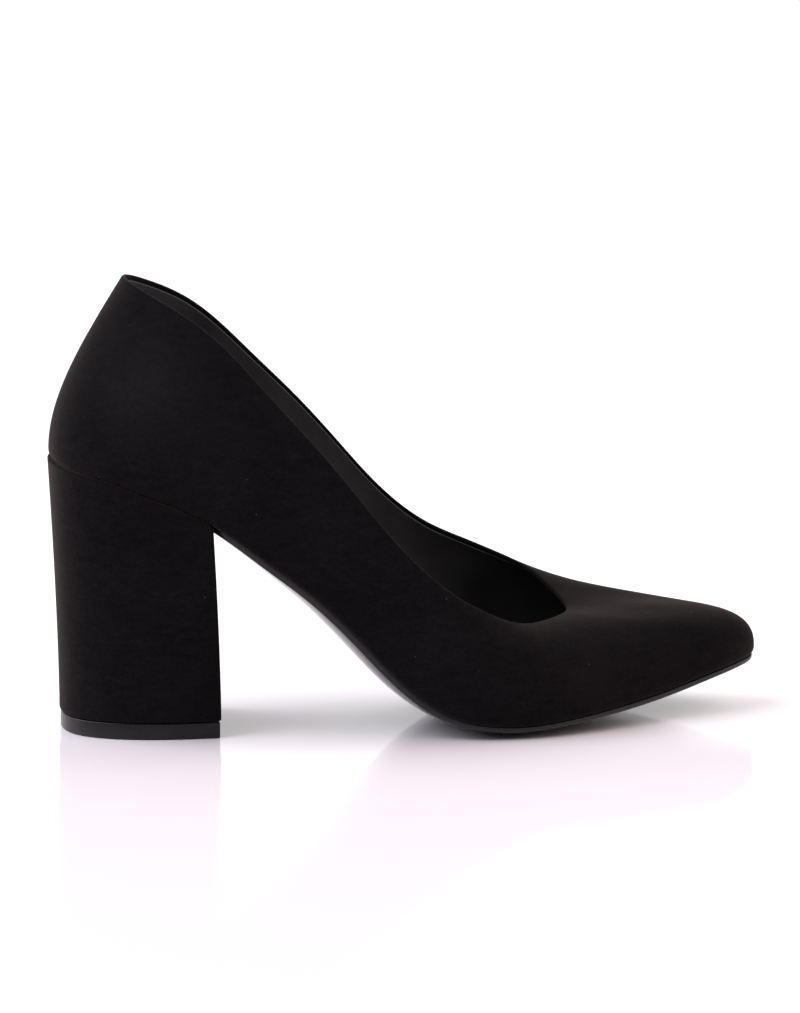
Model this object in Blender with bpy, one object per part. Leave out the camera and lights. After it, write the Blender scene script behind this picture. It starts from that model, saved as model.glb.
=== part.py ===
"""Block heel pump, right shoe: suede upper, insole, outsole, covered block heel and top piece.

X runs from heel to toe, Y towards the inner (medial) side, Z up. The floor is Z = 0.
"""

import math

import bmesh
import bpy
import numpy as np

MM = 0.001

# Driving dimensions of the last
LENGTH = 229 * MM  # level, from the back of the seat to the toe tip
BALL_WIDTH = 75 * MM  # across the feather line at the ball
HEEL_HEIGHT = 88.5 * MM  # from the floor to the seat at the back
TOE_SPRING = 14.5 * MM  # rise of the feather line from ball to toe tip
BACK_HEIGHT = 66.2 * MM  # from the seat straight up to the topline at the back

# The upper
WALL = 1.8 * MM  # suede, stiffening and lining together
FEATHER_RADIUS = 0.4 * MM  # of the inside of its turn at the feather line
LASTING_MARGIN = 9 * MM  # what is pulled under the insole
TOPLINE_ROUND = 0.6 * MM  # rounding of the folded edge

# The insole, which lies on the lasting margin
INSOLE_THICKNESS = 2.6 * MM
INSOLE_GAP = 0.5 * MM  # over the lasting margin, whose facets stand a little proud
INSOLE_CLEARANCE = 1.0 * MM  # from its edge to the inside of the upper
INSOLE_TOE_CLEARANCE = 6 * MM  # the same at the toe tip, where the upper leans back over it

# The outsole, from the heel breast to the toe
SOLE_THICKNESS = 2.4 * MM  # along the middle
SOLE_EDGE = 1.4 * MM  # at the edge
SOLE_INSET = 0.3 * MM  # from the feather line in to the sole's edge at the ball
WAIST_INSET = 1.8 * MM  # the same under the waist, where the sole is narrower
WAIST_AT = 0.36  # share of LENGTH at which the waist is narrowest
WAIST_REACH = 0.22  # share of LENGTH over which it widens again
SOLE_EDGE_BEVEL = 0.8 * MM  # how far the edge draws in towards the tread
TREAD_FLAT = 0.4 * MM  # what is levelled off under the ball

# The heel and its top piece
HEEL_LENGTH = 50.6 * MM  # at the seat, from the back to the breast
HEEL_PROUD = 0.4 * MM  # how far the covered heel stands out past the feather line
HEEL_BASE_LENGTH = 50.2 * MM
HEEL_BASE_WIDTH = 48 * MM
HEEL_BASE_SET_IN = 3.0 * MM  # from the back of the seat forward to the back of the base
HEEL_TAPER = 1.5  # 1 tapers evenly, more draws in faster under the seat than at the base
HEEL_EDGE_ROUND = 0.9 * MM
TOP_PIECE_THICKNESS = 5.4 * MM
TOP_PIECE_INSET = 0.4 * MM
TOP_PIECE_ROUND = 0.5 * MM

GAP = 0.3 * MM  # left between two pieces that touch

# From the tread up: the share of the bevel that the edge is drawn in, and of the way down
SOLE_EDGE_PROFILE = [(1, 1), (0.3, 0.7), (0, 0)]

# Fineness of the meshes
MERGE_WITHIN = 0.01 * MM
SLOPE_REACH = 0.5 * MM  # either way along the bed, to read its slope
STEPS_PER_RIB = 4
WALL_STEPS = 10
TURN_STEPS = 3
LOOKUP_STEPS = 24  # steps a rib in the feather line, where it is only looked up
INSOLE_STATIONS, INSOLE_COLUMNS = 45, 7
SOLE_STATIONS, SOLE_COLUMNS = 41, 11
HEEL_STATIONS, HEEL_COLUMNS, HEEL_LEVELS = 15, 7, 7

# The bed is the surface under the insole, over which the upper is pulled.
# x: percent of LENGTH. heel: percent of the rise from ball to seat.
# toe: percent of TOE_SPRING. crown: fall from edge to middle, percent of BALL_WIDTH.
BED = [
    # x, heel, toe, crown
    (0.0, 100.0, 0, 0.0),
    (8.0, 93.7, 0, 1.6),
    (13.0, 88.3, 0, 2.0),
    (18.5, 82.0, 0, 2.1),
    (23.0, 75.0, 0, 2.2),
    (30.0, 60.1, 0, 3.2),
    (36.0, 46.4, 0, 4.9),
    (42.0, 30.0, 0, 6.5),
    (46.0, 18.7, 0, 6.2),
    (50.5, 8.6, 0, 5.0),
    (55.0, 2.6, 0, 3.8),
    (60.0, 0.4, 0, 2.8),
    (65.0, 0.0, 0, 2.4),
    (71.5, 0.0, 8, 2.2),
    (79.0, 0.0, 25, 1.6),
    (87.0, 0.0, 50, 1.1),
    (95.0, 0.0, 82, 0.6),
    (100.0, 0.0, 100, 0.0),
]

# The upper's ribs, from the back round the outer side to the toe and home round the inner side.
# Each is a Bezier curve from its foot on the feather line to its top on the topline.
# x columns: percent of LENGTH. y, flare: percent of BALL_WIDTH. rise, lift, lead_z: percent of
# BACK_HEIGHT. rise is the topline's height over the bed straight below it. flare and lift place
# the first handle, and lead_x to lead_z are the way from the second handle into the top.
RIBS = [
    # foot_x, foot_y, top_x, top_y, rise, flare, lift, lead_x, lead_y, lead_z
    (0.0, 0.0, 10.5, 0.0, 100.0, 1.3, 27, 5.7, 0.0, 32),  # back
    (2.2, -22.4, 12.7, -16.5, 99.6, 2.0, 26, 4.4, 6.0, 30),
    (7.6, -32.8, 17.2, -27.3, 98.0, 3.3, 24, 3.3, 6.7, 30),
    (18.1, -36.0, 24.2, -35.0, 93.5, 4.0, 22, 1.7, 6.0, 28),  # outer seat
    (33.0, -32.8, 35.2, -39.3, 82.8, 6.7, 21, 0.4, 3.3, 26),  # outer waist
    (46.5, -39.3, 46.5, -44.0, 75.5, 6.0, 21, -0.4, 4.7, 26),
    (59.2, -49.3, 55.7, -46.7, 65.8, 3.3, 20, -1.3, 7.3, 21),  # outer ball
    (69.7, -45.6, 63.1, -40.7, 54.4, 2.0, 20, -2.6, 10.0, 12),
    (81.0, -30.0, 68.3, -26.7, 49.6, 1.3, 22, -6.5, 8.7, 5),
    (92.5, -11.5, 71.3, -14.5, 48.3, 3.0, 27, -12.0, 3.5, 2),
    (98.0, 0.5, 72.6, -6.0, 47.8, 5.0, 30, -14.5, 0.0, 3),
    (100.0, 11.0, 72.9, 2.0, 48.3, 5.3, 31, -15.0, -2.0, 2),  # toe tip
    (98.2, 20.5, 72.4, 9.5, 50.5, 5.0, 31, -14.0, -3.5, 3),
    (92.5, 31.0, 71.2, 18.0, 54.5, 3.0, 30, -12.0, -6.0, 2),
    (84.5, 39.7, 69.2, 27.3, 60.5, 1.3, 28, -8.0, -8.7, 5),
    (74.0, 49.1, 64.8, 36.0, 69.0, 2.0, 25, -3.9, -9.3, 11),
    (64.0, 49.1, 58.3, 39.3, 77.5, 2.7, 23, -1.7, -8.0, 20),  # inner ball
    (51.7, 36.0, 48.7, 38.7, 84.5, 8.0, 24, -0.7, -4.7, 26),
    (35.6, 24.8, 36.0, 36.7, 89.0, 12.0, 26, 0.2, -3.3, 28),  # inner waist
    (19.9, 32.0, 24.7, 34.0, 95.5, 5.3, 24, 1.7, -6.0, 28),  # inner seat
    (7.6, 32.5, 17.2, 26.7, 98.5, 3.3, 24, 3.3, -6.7, 30),
    (2.2, 22.4, 12.7, 16.3, 99.7, 2.0, 26, 4.4, -6.0, 30),
]
TOE_RIB = max(range(len(RIBS)), key=lambda row: RIBS[row][0])

# Between these shares of LENGTH the margin is pulled straight across, and past them towards them
MARGIN_SPINE = 0.13, 0.9


def clear_scene():
    for obj in list(bpy.data.objects):
        bpy.data.objects.remove(obj)


def material(name, colour, roughness, metallic=0.0):
    made = bpy.data.materials.new(name)
    made.use_nodes = True
    shader = made.node_tree.nodes["Principled BSDF"]
    shader.inputs["Base Color"].default_value = (*colour, 1)
    shader.inputs["Roughness"].default_value = roughness
    shader.inputs["Metallic"].default_value = metallic
    return made


def cubic(knots, rows, closed=False):
    """The cubic spline through the rows, as a function of the parameter. Its curvature is continuous."""
    knots = np.asarray(knots, float)
    rows = np.asarray(rows, float)
    if closed:
        rows = np.vstack([rows, rows[:1]])
    span = np.diff(knots)
    slope = np.diff(rows, axis=0) / span[:, None]
    count = len(span) if closed else len(knots)
    matrix = np.eye(count)
    right = np.zeros((count, rows.shape[1]))
    for i in range(0 if closed else 1, len(span)):
        before, after = span[i - 1], span[i]
        matrix[i, i] = 2 * (before + after)
        matrix[i, i - 1] = before
        matrix[i, (i + 1) % count] = after
        right[i] = 6 * (slope[i] - slope[i - 1])
    bend = np.linalg.solve(matrix, right)
    if closed:
        bend = np.vstack([bend, bend[:1]])

    def at(t):
        t = np.atleast_1d(t)
        i = np.clip(np.searchsorted(knots, t, side="right") - 1, 0, len(span) - 1)
        h = span[i][:, None]
        b = (t - knots[i])[:, None] / h
        a = 1 - b
        curve = (a**3 - a) * bend[i] + (b**3 - b) * bend[i + 1]
        return a * rows[i] + b * rows[i + 1] + curve * h * h / 6

    return at


BED_TABLE = np.array(BED) / 100
BED_CURVE = cubic(BED_TABLE[:, 0] * LENGTH, BED_TABLE[:, 1:])
RIB_TABLE = np.array(RIBS) / 100
RIB_FEET = RIB_TABLE[:, :2] * (LENGTH, BALL_WIDTH)
RIB_KNOTS = np.concatenate(
    [[0], np.cumsum(np.linalg.norm(np.roll(RIB_FEET, -1, axis=0) - RIB_FEET, axis=1))]
)
RIB_CURVE = cubic(RIB_KNOTS, RIB_TABLE, closed=True)
BALL_BED = SOLE_THICKNESS + GAP - TREAD_FLAT  # height of the bed's middle at the ball


def rib_parameters(steps):
    """Parameters of the ribs, with this many in each row's span of the table."""
    share = np.arange(steps) / steps
    return np.concatenate(
        [a + (b - a) * share for a, b in zip(RIB_KNOTS[:-1], RIB_KNOTS[1:])]
    )


def feather_line(steps):
    """(points, outward directions) of the feather line seen from above."""
    points = RIB_CURVE(rib_parameters(steps))[:, :2] * (LENGTH, BALL_WIDTH)
    along = np.roll(points, -1, axis=0) - np.roll(points, 1, axis=0)
    outward = np.stack([along[:, 1], -along[:, 0]], axis=1)
    return points, outward / np.linalg.norm(outward, axis=1)[:, None]


FINE_LINE, FINE_OUTWARD = feather_line(LOOKUP_STEPS)


def side_lines(inset):
    """The outer and the inner side of the feather line moved in by inset, each as (x, y) rising in x.

    inset is a length, or a function that gives one for each x.
    """
    amount = inset(FINE_LINE[:, 0]) if callable(inset) else inset
    line = FINE_LINE - FINE_OUTWARD * np.reshape(amount, (-1, 1))
    toe = TOE_RIB * LOOKUP_STEPS
    outer = line[: toe + 1]
    inner = np.vstack([line[toe:], line[:1]])[::-1]
    for side in (outer, inner):
        side[:, 0] = np.maximum.accumulate(side[:, 0])
    return outer, inner


def sides_at(x, inset=0.0):
    outer, inner = side_lines(inset)
    return np.interp(x, *outer.T), np.interp(x, *inner.T)


def bed_centre(x):
    """Height of the bed along its middle."""
    return BALL_BED + BED_CURVE(x)[:, :2] @ (HEEL_HEIGHT - BALL_BED, TOE_SPRING)


def bed_height(x, y, depth=0.0):
    """Height of the surface that lies depth under the bed, measured square to it."""
    shape = np.shape(x)
    x, y = np.clip(np.ravel(x), 0, LENGTH), np.ravel(y)
    ahead, behind = bed_centre(x + SLOPE_REACH), bed_centre(x - SLOPE_REACH)
    slope = (ahead - behind) / (2 * SLOPE_REACH)
    outer, inner = sides_at(x)
    half = np.maximum((inner - outer) / 2, SLOPE_REACH)
    across = np.clip((y - (inner + outer) / 2) / half, -1, 1)
    crown = BED_CURVE(x)[:, 2] * BALL_WIDTH * across**2
    height = bed_centre(x) + crown - np.ravel(depth) * np.hypot(1, slope)
    return height.reshape(shape)


def on_bed(x, y, depth=0.0):
    return np.stack([x, y, bed_height(x, y, depth)], axis=-1)


def finish_object(name, mesh, look, sharp_angle=35):
    mesh.shade_smooth()
    mesh.set_sharp_from_angle(angle=math.radians(sharp_angle))
    mesh.materials.append(look)
    obj = bpy.data.objects.new(name, mesh)
    bpy.context.scene.collection.objects.link(obj)
    return obj


def round_edges(obj, width, segments=2, angle=40):
    bevel = obj.modifiers.new("rounded edges", "BEVEL")
    bevel.width = width
    bevel.segments = segments
    bevel.limit_method = "ANGLE"
    bevel.angle_limit = math.radians(angle)


def mesh_of(name, points, faces):
    made = bmesh.new()
    verts = [made.verts.new(p) for p in points]
    for face in faces:
        made.faces.new([verts[i] for i in face])
    bmesh.ops.remove_doubles(made, verts=made.verts, dist=MERGE_WITHIN)
    bmesh.ops.recalc_face_normals(made, faces=made.faces)
    mesh = bpy.data.meshes.new(name)
    made.to_mesh(mesh)
    made.free()
    return mesh


def stacked_grids(name, grids):
    """A closed mesh between grids of one shape: the first is its underside and the last its top.

    Each grid holds a row of points for each station along the shoe, from the outer to the inner side.
    """
    rows, columns = grids[0].shape[:2]
    index = np.arange(rows * columns * len(grids)).reshape(len(grids), rows, columns)
    faces = []
    for layer in (index[0], index[-1]):
        faces += list(
            zip(
                layer[:-1, :-1].ravel(),
                layer[1:, :-1].ravel(),
                layer[1:, 1:].ravel(),
                layer[:-1, 1:].ravel(),
            )
        )
    rims = [
        np.concatenate([g[:, 0], g[-1, 1:-1], g[::-1, -1], g[0, -2:0:-1]]) for g in index
    ]
    for low, high in zip(rims[:-1], rims[1:]):
        faces += list(zip(low, np.roll(low, -1), np.roll(high, -1), high))
    points = np.concatenate([g.reshape(-1, 3) for g in grids])
    return mesh_of(name, points, [distinct(f, points) for f in faces if distinct(f, points)])


def distinct(face, points):
    """The face without corners that lie on the one before, or None where it has no area."""
    kept = [
        i for i, j in zip(face, [*face[1:], face[0]]) if np.ptp(points[[i, j]], axis=0).max() > 0
    ]
    return kept if len(kept) > 2 else None


def ladder(x, outer, inner, columns):
    """(x, y) grids with a rung from the outer to the inner side at each x."""
    share = np.linspace(0, 1, columns)[None, :]
    across = outer[:, None] * (1 - share) + inner[:, None] * share
    return np.repeat(x[:, None], columns, axis=1), across


def make_upper(look):
    """The lasted upper: margin, turn at the feather line, and wall up to the topline."""
    shares = RIB_CURVE(rib_parameters(STEPS_PER_RIB))
    foot, outward = feather_line(STEPS_PER_RIB)
    top = shares[:, 2:4] * (LENGTH, BALL_WIDTH)
    rise, flare, lift = (shares[:, 4:7] * (BACK_HEIGHT, BALL_WIDTH, BACK_HEIGHT)).T
    lead = shares[:, 7:10] * (LENGTH, BALL_WIDTH, BACK_HEIGHT)

    p0 = on_bed(foot[:, 0], foot[:, 1])
    up = np.array([0, 0, 1])
    flat_outward = np.column_stack([outward, np.zeros(len(outward))])
    p1 = p0 + flat_outward * flare[:, None] + up * lift[:, None]
    p3 = np.column_stack([top, bed_centre(top[:, 0]) + rise])
    p2 = p3 - lead

    def wall(share):
        a, b = 1 - share, share
        return a**3 * p0 + 3 * a * a * b * p1 + 3 * a * b * b * p2 + b**3 * p3

    # The turn at the feather line leaves the wall this share of the way up it.
    turn = WALL + FEATHER_RADIUS
    first = turn / (3 * np.linalg.norm(p1 - p0, axis=1))
    spine_x = np.clip(foot[:, 0], MARGIN_SPINE[0] * LENGTH, MARGIN_SPINE[1] * LENGTH)
    spine = np.stack([spine_x, np.mean(sides_at(spine_x), axis=0)], axis=1)
    to_spine = spine - foot
    to_spine /= np.linalg.norm(to_spine, axis=1)[:, None]

    def margin(width):
        at = foot + to_spine * width
        return on_bed(at[:, 0], at[:, 1])

    loops = [margin(LASTING_MARGIN), margin((LASTING_MARGIN + turn) / 2)]
    turn_in, turn_out = margin(turn), wall(first[:, None])
    for share in np.linspace(0, 1, TURN_STEPS + 1):
        a, b = 1 - share, share
        loops.append(a * a * turn_in + 2 * a * b * p0 + b * b * turn_out)
    for share in np.linspace(0, 1, WALL_STEPS + 1)[1:]:
        loops.append(wall((first + (1 - first) * share)[:, None]))

    count = len(foot)
    around = np.arange(count)
    faces = []
    for i in range(len(loops) - 1):
        low, high = i * count + around, (i + 1) * count + around
        faces += list(zip(low, np.roll(low, -1), np.roll(high, -1), high))
    mesh = mesh_of("upper", np.concatenate(loops), faces)
    obj = finish_object("upper", mesh, look)
    if outward_share(mesh) < 0:
        mesh.flip_normals()
    thickness = obj.modifiers.new("wall", "SOLIDIFY")
    thickness.thickness = WALL
    thickness.offset = -1
    thickness.use_even_offset = True
    round_edges(obj, TOPLINE_ROUND)
    return obj


def outward_share(mesh):
    """Above 0 where the faces of a ring round the shoe point away from its middle."""
    middle = np.array([LENGTH / 2, 0, 0])
    flat = np.array([1, 1, 0])
    return sum(
        p.area * np.dot((np.array(p.center) - middle) * flat, p.normal) for p in mesh.polygons
    )


def make_insole(look):
    inset = WALL + INSOLE_CLEARANCE
    ends = inset, LENGTH - WALL - INSOLE_TOE_CLEARANCE
    turn = np.linspace(0, math.pi, INSOLE_STATIONS)
    x = np.mean(ends) - np.diff(ends)[0] / 2 * np.cos(turn)
    outer, inner = sides_at(x, inset)
    middle = (outer[[0, -1]] + inner[[0, -1]]) / 2
    outer[[0, -1]] = inner[[0, -1]] = middle
    plan = ladder(x, outer, inner, INSOLE_COLUMNS)
    under = -(WALL + INSOLE_GAP)
    grids = [on_bed(*plan, under), on_bed(*plan, under - INSOLE_THICKNESS)]
    return finish_object("insole", stacked_grids("insole", grids), look)


def sole_inset(x):
    """How far the sole's edge lies inside the feather line: most under the waist."""
    waist = np.exp(-(((x / LENGTH - WAIST_AT) / WAIST_REACH) ** 2))
    return SOLE_INSET + (WAIST_INSET - SOLE_INSET) * waist


def make_outsole(look):
    """Sheet sole with a drawn-in edge, levelled under the ball, from the breast to the toe tip."""
    start = HEEL_LENGTH + GAP

    def level(drawn_in, share):
        """The surface this share of the way down through the sole, its edge drawn in so far."""
        end = LENGTH - SOLE_INSET - drawn_in
        x = start + (end - start) * np.sin(np.linspace(0, math.pi / 2, SOLE_STATIONS))
        outer, inner = sides_at(x, lambda at: sole_inset(at) + drawn_in)
        outer[-1] = inner[-1] = (outer[-1] + inner[-1]) / 2
        across = np.linspace(-1, 1, SOLE_COLUMNS)
        fullness = np.minimum(1, 2 * (inner - outer) / BALL_WIDTH)[:, None]
        thickness = SOLE_EDGE + (SOLE_THICKNESS - SOLE_EDGE) * fullness * (1 - across**2)
        depth = GAP + share * thickness
        points = on_bed(*ladder(x, outer, inner, SOLE_COLUMNS), depth)
        points[..., 2] = np.maximum(points[..., 2], 0)
        return points

    grids = [level(drawn * SOLE_EDGE_BEVEL, share) for drawn, share in SOLE_EDGE_PROFILE]
    return finish_object("outsole", stacked_grids("outsole", grids), look)


def heel_plan(share):
    """The heel's outline as (x, y) grids, from the seat at share 0 to the base at share 1."""
    back = -HEEL_PROUD
    stations = np.sin(np.linspace(0, math.pi / 2, HEEL_STATIONS)) ** 2
    seat_x = back + (HEEL_LENGTH - back) * stations
    outer, inner = sides_at(seat_x, -HEEL_PROUD)
    outer[0] = inner[0] = 0
    seat = np.array([seat_x, outer, inner])
    width = inner.max() - outer.min()
    base = np.array(
        [
            HEEL_BASE_SET_IN + HEEL_BASE_LENGTH * stations,
            outer * HEEL_BASE_WIDTH / width,
            inner * HEEL_BASE_WIDTH / width,
        ]
    )
    blend = 1 - (1 - share) ** HEEL_TAPER
    x, outer, inner = seat * (1 - blend) + base * blend
    return ladder(x, outer, inner, HEEL_COLUMNS)


def make_heel(look):
    """Block from the top piece up to the seat, which it cups."""
    low = TOP_PIECE_THICKNESS + GAP
    seat = bed_height(*heel_plan(0), GAP)
    grids = []
    for share in np.linspace(1, 0, HEEL_LEVELS):
        x, y = heel_plan(share)
        grids.append(np.stack([x, y, low * share + seat * (1 - share)], axis=-1))
    obj = finish_object("heel", stacked_grids("heel", grids), look)
    round_edges(obj, HEEL_EDGE_ROUND)
    return obj


def make_top_piece(look):
    """Heel tip: a flat slice under the heel, drawn in a little."""
    x, y = heel_plan(1)
    middle = (x.min() + x.max()) / 2
    share = 1 - 2 * TOP_PIECE_INSET / HEEL_BASE_WIDTH
    x, y = middle + (x - middle) * share, y * share
    grids = [np.stack([x, y, np.full_like(x, z)], axis=-1) for z in (0, TOP_PIECE_THICKNESS)]
    obj = finish_object("top_piece", stacked_grids("top_piece", grids), look)
    round_edges(obj, TOP_PIECE_ROUND)
    return obj


def centre_on_floor(objects):
    """Hangs the shoe from an empty that puts the middle of its box over the origin."""
    frame = bpy.data.objects.new("shoe", None)
    bpy.context.scene.collection.objects.link(frame)
    graph = bpy.context.evaluated_depsgraph_get()
    corners = np.array([c for o in objects for c in o.evaluated_get(graph).bound_box])
    middle = (corners.min(axis=0) + corners.max(axis=0)) / 2
    frame.location = (-middle[0], -middle[1], 0)
    for obj in objects:
        obj.parent = frame


def build():
    clear_scene()
    suede = material("black suede", (0.010, 0.009, 0.010), 0.95)
    sock = material("black lining", (0.020, 0.019, 0.020), 0.6)
    gloss = material("black lacquered sole", (0.008, 0.008, 0.008), 0.12)
    rubber = material("black top piece rubber", (0.016, 0.016, 0.017), 0.45)
    objects = [
        make_upper(suede),
        make_insole(sock),
        make_outsole(gloss),
        make_heel(suede),
        make_top_piece(rubber),
    ]
    centre_on_floor(objects)


build()
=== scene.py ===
"""Looks of the block heel pump: a right shoe in black suede with a lacquered sole.

X runs from heel to toe, Y towards the inner (medial) side, Z up. The floor is Z = 0.
The pieces are made in the shoe's own frame, with X = 0 at the back of the seat, and then shifted
to where the solids of the frame are.
"""

import math

import bmesh
import bpy
import numpy as np
from mathutils import Matrix, Vector


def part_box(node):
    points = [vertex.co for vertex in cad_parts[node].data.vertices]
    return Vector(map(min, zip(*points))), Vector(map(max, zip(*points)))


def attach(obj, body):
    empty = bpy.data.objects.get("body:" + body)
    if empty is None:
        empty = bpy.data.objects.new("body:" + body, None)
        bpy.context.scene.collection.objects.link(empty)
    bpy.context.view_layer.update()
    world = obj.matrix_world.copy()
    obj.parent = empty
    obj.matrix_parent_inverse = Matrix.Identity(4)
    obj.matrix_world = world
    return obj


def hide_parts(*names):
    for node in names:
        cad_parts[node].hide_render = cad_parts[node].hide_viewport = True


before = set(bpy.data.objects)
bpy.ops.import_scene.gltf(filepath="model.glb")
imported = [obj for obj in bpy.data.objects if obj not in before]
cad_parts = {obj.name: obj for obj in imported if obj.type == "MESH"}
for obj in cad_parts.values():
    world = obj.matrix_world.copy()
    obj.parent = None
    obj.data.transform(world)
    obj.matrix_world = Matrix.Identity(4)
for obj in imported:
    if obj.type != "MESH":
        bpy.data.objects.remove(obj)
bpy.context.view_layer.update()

MM = 0.001

# The last and the pieces, at the sizes of the solids
LENGTH = 229 * MM
BALL_WIDTH = 75 * MM
HEEL_HEIGHT = 88.5 * MM
TOE_SPRING = 14.5 * MM
BACK_HEIGHT = 66.2 * MM
WALL = 1.8 * MM
FEATHER_RADIUS = 0.4 * MM
LASTING_MARGIN = 9 * MM
INSOLE_THICKNESS = 2.6 * MM
INSOLE_GAP = 0.5 * MM
INSOLE_TOE_CLEARANCE = 6 * MM
SOLE_THICKNESS = 2.4 * MM
SOLE_EDGE = 1.4 * MM
SOLE_INSET = 0.3 * MM
WAIST_INSET = 1.8 * MM
WAIST_AT = 0.36  # of LENGTH, as is WAIST_REACH
WAIST_REACH = 0.22
SOLE_EDGE_BEVEL = 0.8 * MM
TREAD_FLAT = 0.4 * MM
HEEL_LENGTH = 50.6 * MM
HEEL_PROUD = 0.4 * MM
HEEL_BASE_LENGTH = 50.2 * MM
HEEL_BASE_WIDTH = 48 * MM
HEEL_BASE_SET_IN = 3.0 * MM
HEEL_TAPER = 1.5  # over 1, the heel narrows most near the seat
TOP_PIECE_THICKNESS = 5.4 * MM
TOP_PIECE_INSET = 0.4 * MM
GAP = 0.3 * MM

# What only the finished surface has
SUEDE = 1.25 * MM  # the suede folded over at the topline
LINING = 0.5 * MM
LINING_DROP = 1.7 * MM  # from the crown of the fold down to the lining's edge
SOCK_CLEARANCE = 0.3 * MM
SOCK_EDGE_ROUND = 0.9 * MM
SOCK_LEAN = 0.85  # how far the sock's edge follows the lean of the wall beside it
HEEL_EDGE_ROUND = 0.7 * MM
HEEL_CORNER_ROUND = 1.3 * MM  # the upright corners at the breast
TOP_PIECE_ROUND = 0.45 * MM
SOLE_CORNER_ROUND = 5 * MM  # in plan, at the breast
SEAM = 0.05 * MM  # between the suede and the sole
LINING_EDGE_BULGE = 0.2  # of a step between two rings of the lining
CORNER_ZONE = 4 * MM  # the rounding of the heel's corners begins this far behind the breast
CORNER_BLEND = 2 * MM  # and is complete after this
CREASE_FACING = 2  # how soon a crease fades where the wall turns away from its side

# Fineness of the meshes
STEPS_PER_RIB = 20
MARGIN_STEPS = 4
WALL_STEPS = 60
TURN_STEPS = 7
FOLD_STEPS = 10
LINING_STEPS = 44
LOOKUP_STEPS = 40
SOLE_STATIONS, SOLE_COLUMNS, SOLE_EDGE_STEPS = 261, 41, 9
SOCK_STATIONS, SOCK_COLUMNS, SOCK_EDGE_STEPS = 201, 41, 5
HEEL_AROUND, HEEL_LEVELS, ROUND_STEPS, CAP_RINGS = 320, 60, 6, 14
SLOPE_STEP = 0.5 * MM  # to either side of where a slope is measured
MEETING = 0.002 * MM  # points this close are one
SLIVER = 0.001 * MM  # edges under this are dropped
SHARP_ANGLE = math.radians(40)  # between two faces, from which the edge between them shows

# The bed under the insole, as in the solids
BED = [
    # In hundredths of LENGTH, of the heel's height over the ball, of TOE_SPRING and of BALL_WIDTH
    # x, heel, toe, crown
    (0.0, 100.0, 0, 0.0),
    (8.0, 93.7, 0, 1.6),
    (13.0, 88.3, 0, 2.0),
    (18.5, 82.0, 0, 2.1),
    (23.0, 75.0, 0, 2.2),
    (30.0, 60.1, 0, 3.2),
    (36.0, 46.4, 0, 4.9),
    (42.0, 30.0, 0, 6.5),
    (46.0, 18.7, 0, 6.2),
    (50.5, 8.6, 0, 5.0),
    (55.0, 2.6, 0, 3.8),
    (60.0, 0.4, 0, 2.8),
    (65.0, 0.0, 0, 2.4),
    (71.5, 0.0, 8, 2.2),
    (79.0, 0.0, 25, 1.6),
    (87.0, 0.0, 50, 1.1),
    (95.0, 0.0, 82, 0.6),
    (100.0, 0.0, 100, 0.0),
]

# The upper's ribs, as in the solids: from the back round the outer side to the toe and home
RIBS = [
    # Each is a curve from its foot on the bed to its top on the topline. It leaves the foot outwards
    # by flare and up by lift, and comes in to the top along lead. All are hundredths of RIB_SIZES.
    # foot_x, foot_y, top_x, top_y, rise, flare, lift, lead_x, lead_y, lead_z
    (0.0, 0.0, 10.5, 0.0, 100.0, 1.3, 27, 5.7, 0.0, 32),  # back
    (2.2, -22.4, 12.7, -16.5, 99.6, 2.0, 26, 4.4, 6.0, 30),
    (7.6, -32.8, 17.2, -27.3, 98.0, 3.3, 24, 3.3, 6.7, 30),
    (18.1, -36.0, 24.2, -35.0, 93.5, 4.0, 22, 1.7, 6.0, 28),  # outer seat
    (33.0, -32.8, 35.2, -39.3, 82.8, 6.7, 21, 0.4, 3.3, 26),  # outer waist
    (46.5, -39.3, 46.5, -44.0, 75.5, 6.0, 21, -0.4, 4.7, 26),
    (59.2, -49.3, 55.7, -46.7, 65.8, 3.3, 20, -1.3, 7.3, 21),  # outer ball
    (69.7, -45.6, 63.1, -40.7, 54.4, 2.0, 20, -2.6, 10.0, 12),
    (81.0, -30.0, 68.3, -26.7, 49.6, 1.3, 22, -6.5, 8.7, 5),
    (92.5, -11.5, 71.3, -14.5, 48.3, 3.0, 27, -12.0, 3.5, 2),
    (98.0, 0.5, 72.6, -6.0, 47.8, 5.0, 30, -14.5, 0.0, 3),
    (100.0, 11.0, 72.9, 2.0, 48.3, 5.3, 31, -15.0, -2.0, 2),  # toe tip
    (98.2, 20.5, 72.4, 9.5, 50.5, 5.0, 31, -14.0, -3.5, 3),
    (92.5, 31.0, 71.2, 18.0, 54.5, 3.0, 30, -12.0, -6.0, 2),
    (84.5, 39.7, 69.2, 27.3, 60.5, 1.3, 28, -8.0, -8.7, 5),
    (74.0, 49.1, 64.8, 36.0, 69.0, 2.0, 25, -3.9, -9.3, 11),
    (64.0, 49.1, 58.3, 39.3, 77.5, 2.7, 23, -1.7, -8.0, 20),  # inner ball
    (51.7, 36.0, 48.7, 38.7, 84.5, 8.0, 24, -0.7, -4.7, 26),
    (35.6, 24.8, 36.0, 36.7, 89.0, 12.0, 26, 0.2, -3.3, 28),  # inner waist
    (19.9, 32.0, 24.7, 34.0, 95.5, 5.3, 24, 1.7, -6.0, 28),  # inner seat
    (7.6, 32.5, 17.2, 26.7, 98.5, 3.3, 24, 3.3, -6.7, 30),
    (2.2, 22.4, 12.7, 16.3, 99.7, 2.0, 26, 4.4, -6.0, 30),
]

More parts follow.
